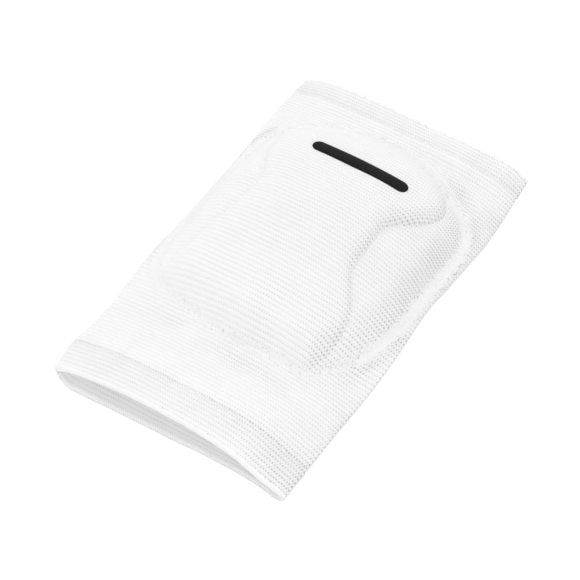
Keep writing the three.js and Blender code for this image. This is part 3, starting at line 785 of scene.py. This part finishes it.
# a colour mixed from two by a factor; each of the two is a plain colour or a socket
def mixColours(tree, factor, first, second, kind="MIX"):
    node = tree.nodes.new("ShaderNodeMixRGB")
    node.blend_type = kind
    tree.links.new(factor, node.inputs[0])
    for i, colour in ((1, first), (2, second)):
        if isinstance(colour, tuple):
            node.inputs[i].default_value = (*colour, 1)
        else:
            tree.links.new(colour, node.inputs[i])
    return node.outputs[0]


# The look of the knit. A noise is given as its scale, detail and roughness.
weave = {
    "bendNoise": (260.0, 2.0, 0.55),
    "bend": 0.5,  # in stitches, how far the columns wander, and the rows below
    "rowBendNoise": (330.0, 2.0, 0.55),
    "rowBend": 0.3,
    "holePower": 2.9,
    "betweenPower": 2.6,
    "between": 0.5,
    "rowPower": 2.0,
    "row": 0.16,
    "patchNoise": (60.0, 2.0, 0.55),
    "patch": (1.1, 0.2),
    "speckNoise": (1150.0, 2.0, 0.6),
    "speckRange": (0.6, 0.76),
    "speckInBand": 6.0,  # specks show at the edges of the plain band
    "speckElsewhere": 0.04,
    "speckOpen": 0.15,
    "fuzzNoise": (2600.0, 4.0, 0.7),
    "mottleNoise": (900.0, 3.0, 0.6),
    "tone": 0.955,
    "roughness": 0.92,
    "gloss": 0.15,
    "sheen": 0.1,
    "sheenRoughness": 0.5,
    "ribHeight": -0.35,
    "fuzzHeight": 0.35,
    "mottleHeight": 0.35,
    "bump": 0.8,
}


# jersey knit: one dark hole per stitch at whole numbers of the knit map, the product of a raised cosine across
# and one along, with fainter holes half a stitch away and a faint line along each row
def knitMaterial(name, plainColour, depth, through):
    made, tree, shader = nodeTree(name)
    place = tree.nodes.new("ShaderNodeTexCoord").outputs["Object"]
    plus = lambda a, b, clamp=False: math2(tree, "ADD", a, b, clamp)
    times = lambda a, b, clamp=False: math2(tree, "MULTIPLY", a, b, clamp)
    power = lambda a, b: math2(tree, "POWER", a, b)
    grain = lambda key: noise(tree, place, *weave[key])
    uv = tree.nodes.new("ShaderNodeUVMap")
    uv.uv_map = "knitMap"
    split = tree.nodes.new("ShaderNodeSeparateXYZ")
    tree.links.new(uv.outputs[0], split.inputs[0])
    plain, openedAndShade, inner = (pointValue(tree, key) for key in ("plain", "openedAndShade", "inner"))
    bend = times(math2(tree, "SUBTRACT", grain("bendNoise"), 0.5), weave["bend"])
    rowBend = times(math2(tree, "SUBTRACT", grain("rowBendNoise"), 0.5), weave["rowBend"])
    wave = lambda value: math2(tree, "COSINE", times(value, 2 * math.pi))
    across, rows = wave(plus(split.outputs[0], bend)), wave(plus(split.outputs[1], rowBend))
    share = lambda value, size: plus(times(value, size), 0.5)
    hole = power(times(share(across, 0.5), share(rows, 0.5)), weave["holePower"])
    between = power(times(share(across, -0.5), share(rows, -0.5)), weave["betweenPower"])
    # the holes' darkness follows the point value that holds open stitches together with painted shade and painted
    # light
    faint = times(between, times(openedAndShade, weave["between"]))
    row = times(power(share(rows, 0.5), weave["rowPower"]), weave["row"])
    holes = times(plus(hole, plus(faint, row)), openedAndShade)
    keep = math2(tree, "SUBTRACT", 1.0, plain, True)
    patchy = plus(times(grain("patchNoise"), weave["patch"][0]), weave["patch"][1])
    dark = times(times(holes, keep), patchy, True)
    speck = tree.nodes.new("ShaderNodeMapRange")
    speck.inputs["From Min"].default_value = weave["speckRange"][0]
    speck.inputs["From Max"].default_value = weave["speckRange"][1]
    tree.links.new(grain("speckNoise"), speck.inputs["Value"])
    band = times(times(plain, keep), weave["speckInBand"])
    speckShare = times(speck.outputs[0], plus(band, weave["speckElsewhere"]))
    dark = plus(dark, times(speckShare, plus(openedAndShade, weave["speckOpen"])), True)
    fuzz, mottle = grain("fuzzNoise"), grain("mottleNoise")
    outerBase = mixColours(tree, plain, knit["colour"], plainColour)
    # painted light: the inner faces take the whiter inner colour
    base = mixColours(tree, inner, outerBase, knit["paintedLightInnerColour"])
    mix = mixColours(tree, dark, base, knit["holeColour"])
    tone = mixColours(tree, mottle, mix, (weave["tone"],) * 3, "MULTIPLY")
    tree.links.new(tone, shader.inputs["Base Color"])
    shader.inputs["Roughness"].default_value = weave["roughness"]
    shader.inputs["Specular IOR Level"].default_value = weave["gloss"]
    shader.inputs["Sheen Weight"].default_value = weave["sheen"]
    shader.inputs["Sheen Roughness"].default_value = weave["sheenRoughness"]
    glow = tree.nodes.new("ShaderNodeBsdfTranslucent")
    tree.links.new(tone, glow.inputs["Color"])
    blend = tree.nodes.new("ShaderNodeMixShader")
    tree.links.new(plus(times(inner, knit["innerThrough"]), through), blend.inputs[0])
    tree.links.new(shader.outputs[0], blend.inputs[1])
    tree.links.new(glow.outputs[0], blend.inputs[2])
    out = next(node for node in tree.nodes if node.type == "OUTPUT_MATERIAL")
    tree.links.new(blend.outputs[0], out.inputs[0])
    ribs = times(times(rows, weave["ribHeight"]), keep)
    height = plus(plus(times(dark, -1.0), ribs), times(fuzz, weave["fuzzHeight"]))
    height = plus(height, times(mottle, weave["mottleHeight"]))
    bump = tree.nodes.new("ShaderNodeBump")
    bump.inputs["Distance"].default_value = depth
    bump.inputs["Strength"].default_value = weave["bump"]
    tree.links.new(height, bump.inputs["Height"])
    tree.links.new(bump.outputs[0], shader.inputs["Normal"])
    return made


# thread: two colours mixed by a fine noise, with another as bump
def threadMaterial(name, colour, other, roughness, gloss):
    made, tree, shader = nodeTree(name)
    place = tree.nodes.new("ShaderNodeTexCoord").outputs["Object"]
    mix = mixColours(tree, noise(tree, place, thread["mixScale"], 3.0), colour, other)
    tree.links.new(mix, shader.inputs["Base Color"])
    shader.inputs["Roughness"].default_value = roughness
    shader.inputs["Specular IOR Level"].default_value = gloss
    bump = tree.nodes.new("ShaderNodeBump")
    bump.inputs["Distance"].default_value = thread["depth"]
    tree.links.new(noise(tree, place, thread["bumpScale"], 2.0), bump.inputs["Height"])
    tree.links.new(bump.outputs[0], shader.inputs["Normal"])
    return made


# The two threads: two colours each, then roughness and gloss.
thread = {
    "black": ((0.003, 0.003, 0.003), (0.007, 0.007, 0.007), 0.55, 0.12),
    "white": ((0.82, 0.82, 0.82), (0.9, 0.9, 0.9), 0.8, 0.3),
    "mixScale": 1400.0,
    "bumpScale": 3000.0,
    "depth": 0.0001,
}

coverKnit = knitMaterial("cover_knit", knit["seamColour"], knit["depth"], knit["letThrough"])
hemKnit = knitMaterial("hem_knit", knit["rimColour"], knit["hemDepth"], knit["hemThrough"])
blackThread = threadMaterial("embroidery_thread", *thread["black"])
whiteThread = threadMaterial("white_thread", *thread["white"])

dressed = (
    (cover, coverKnit, "knit"),
    (lowerHem, hemKnit, "hem_knit"),
    (upperHem, hemKnit, "hem_knit"),
    (barMesh, blackThread, "embroidery_thread"),
    (seamMesh, whiteThread, "knit"),
    (hemStitches, whiteThread, "hem_knit"),
)
for piece, made, slotName in dressed:
    piece.data.materials.append(made)
    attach(piece, "root")

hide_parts("sleeve", "centre_cushion", "left_wing_cushion", "right_wing_cushion")
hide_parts("lower_hem")
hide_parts("upper_hem")
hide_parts("embroidered_bar")

# The floor, the light and the camera. The camera's target and distance are in millimetres.
look = {
    "target": (-0.379, -6.196, 0.0),
    "back": (0.3327, -0.5098, 0.7934),
    "right": (0.8374, 0.5465, 0.0),
    "up": (-0.4336, 0.6644, 0.6087),
    "distance": 1283.0,
    "lens": 167.6,
    "sensor": 36.0,
    "clipStart": 0.05,
    "world": 1.2,
    "floorGlow": 1.0,
    "floorColour": 0.12,
    "floorHalf": 3.0,
    "floorHeight": -0.0004,
    "keyWay": (0.02, 0.3, 0.9),
    "keyDistance": 1.6,
    "keySize": 0.9,
    "keyPower": 4.0,
    "diffuseBounces": 10,  # the white mouth fills with light that bounces many times
    "mostBounces": 16,
}

floorMesh = bpy.data.meshes.new("floor")
half, floorHeight = look["floorHalf"], look["floorHeight"]
floorCorners = [(x, y, floorHeight) for x, y in ((-half, -half), (half, -half), (half, half), (-half, half))]
floorMesh.from_pydata(floorCorners, [], [(0, 1, 2, 3)])
floor = bpy.data.objects.new("floor", floorMesh)
bpy.context.scene.collection.objects.link(floor)
floorLook, floorTree, floorShader = nodeTree("floor_paper")
floorShader.inputs["Base Color"].default_value = (look["floorColour"],) * 3 + (1,)
floorShader.inputs["Roughness"].default_value = 1.0
floorShader.inputs["Specular IOR Level"].default_value = 0.0
floorShader.inputs["Emission Color"].default_value = (1, 1, 1, 1)
floorShader.inputs["Emission Strength"].default_value = look["floorGlow"]
floorMesh.materials.append(floorLook)

world = bpy.data.worlds.new("studio")
bpy.context.scene.world = world
world.use_nodes = True
world.node_tree.nodes["Background"].inputs[0].default_value = (1, 1, 1, 1)
world.node_tree.nodes["Background"].inputs[1].default_value = look["world"]


def areaLight(name, way, distance, side, power):
    data = bpy.data.lights.new(name, "AREA")
    data.shape = "DISK"
    data.size = side
    data.energy = power
    lamp = bpy.data.objects.new(name, data)
    bpy.context.scene.collection.objects.link(lamp)
    way = Vector(way).normalized()
    lamp.location = way * distance
    lamp.rotation_euler = way.to_track_quat("Z", "Y").to_euler()


areaLight("key_light", look["keyWay"], look["keyDistance"], look["keySize"], look["keyPower"])

back, right, up = (np.array(look[k]) for k in ("back", "right", "up"))
spot = (np.array(look["target"]) + back * look["distance"]) * mm
cameraData = bpy.data.cameras.new("camera")
cameraData.lens = look["lens"]
cameraData.sensor_width = look["sensor"]
cameraData.clip_start = look["clipStart"]
camera = bpy.data.objects.new("camera", cameraData)
bpy.context.scene.collection.objects.link(camera)
turned = [[*row, p] for row, p in zip(np.stack([right, up, back], 1), spot)]
camera.matrix_world = Matrix(turned + [[0, 0, 0, 1]])
bpy.context.scene.camera = camera
bpy.context.scene.view_settings.view_transform = "Standard"
bpy.context.scene.cycles.diffuse_bounces = look["diffuseBounces"]
bpy.context.scene.cycles.max_bounces = look["mostBounces"]
bpy.context.scene.cycles.transmission_bounces = look["mostBounces"]
print("stage 6: materials, light and camera")
